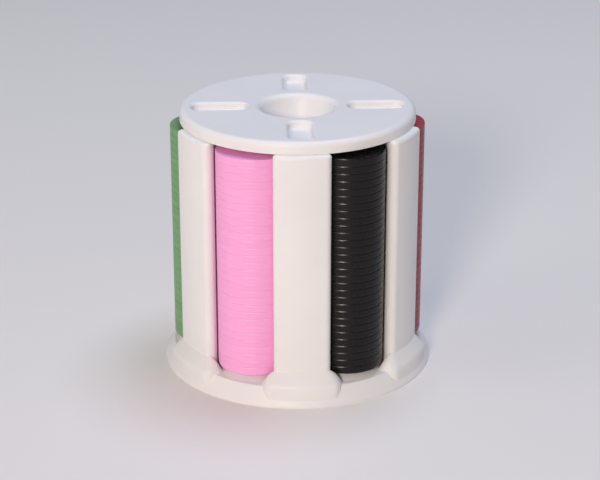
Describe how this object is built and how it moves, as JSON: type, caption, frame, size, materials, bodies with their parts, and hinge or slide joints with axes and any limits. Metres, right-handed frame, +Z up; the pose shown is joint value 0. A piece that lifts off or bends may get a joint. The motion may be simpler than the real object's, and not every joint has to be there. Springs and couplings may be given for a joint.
{
  "type": "bobbin box",
  "caption": "Round tower box with upright bays that hold columns of flat coloured discs behind open slots, on a flared base, under a lift-off lid with a finger cup.",
  "frame": {"origin": "centre of the base's underside", "axes": "+Z up along the tower's axis, front panel facing -Y"},
  "size_m": [0.0758, 0.0758, 0.0741],
  "materials": {
    "white_plastic": "satin, off-white",
    "black_discs": "satin gloss",
    "red_discs": "satin gloss",
    "blue_discs": "satin gloss",
    "yellow_discs": "satin gloss",
    "green_discs": "satin gloss",
    "pink_discs": "satin gloss"
  },
  "bodies": {
    "body": {"base": "white_plastic", "tower": "white_plastic"},
    "lid": {"lid": "white_plastic"},
    "black_column": {"black_discs_lower": "black_discs", "black_discs_middle": "black_discs", "black_discs_upper": "black_discs"},
    "red_column": {"red_discs_lower": "red_discs", "red_discs_middle": "red_discs", "red_discs_upper": "red_discs"},
    "blue_column": {"blue_discs_lower": "blue_discs", "blue_discs_middle": "blue_discs", "blue_discs_upper": "blue_discs"},
    "yellow_column": {"yellow_discs_lower": "yellow_discs", "yellow_discs_middle": "yellow_discs", "yellow_discs_upper": "yellow_discs"},
    "green_column": {"green_discs_lower": "green_discs", "green_discs_middle": "green_discs", "green_discs_upper": "green_discs"},
    "pink_column": {"pink_discs_lower": "pink_discs", "pink_discs_middle": "pink_discs", "pink_discs_upper": "pink_discs"}
  },
  "joints": [
    {"name": "lid_lift", "type": "slide", "parent": "body", "child": "lid", "axis": [0, 0, 1], "range_m": [0, 0.03]},
    {"name": "black_turn", "type": "hinge", "parent": "body", "child": "black_column", "pos_m": [0.0125, -0.02165, 0.0383], "axis": [0, 0, 1], "continuous": true},
    {"name": "red_turn", "type": "hinge", "parent": "body", "child": "red_column", "pos_m": [0.025, 0, 0.0383], "axis": [0, 0, 1], "continuous": true},
    {"name": "blue_turn", "type": "hinge", "parent": "body", "child": "blue_column", "pos_m": [0.0125, 0.02165, 0.0383], "axis": [0, 0, 1], "continuous": true},
    {"name": "yellow_turn", "type": "hinge", "parent": "body", "child": "yellow_column", "pos_m": [-0.0125, 0.02165, 0.0383], "axis": [0, 0, 1], "continuous": true},
    {"name": "green_turn", "type": "hinge", "parent": "body", "child": "green_column", "pos_m": [-0.025, 0, 0.0383], "axis": [0, 0, 1], "continuous": true},
    {"name": "pink_turn", "type": "hinge", "parent": "body", "child": "pink_column", "pos_m": [-0.0125, -0.02165, 0.0383], "axis": [0, 0, 1], "continuous": true}
  ]
}
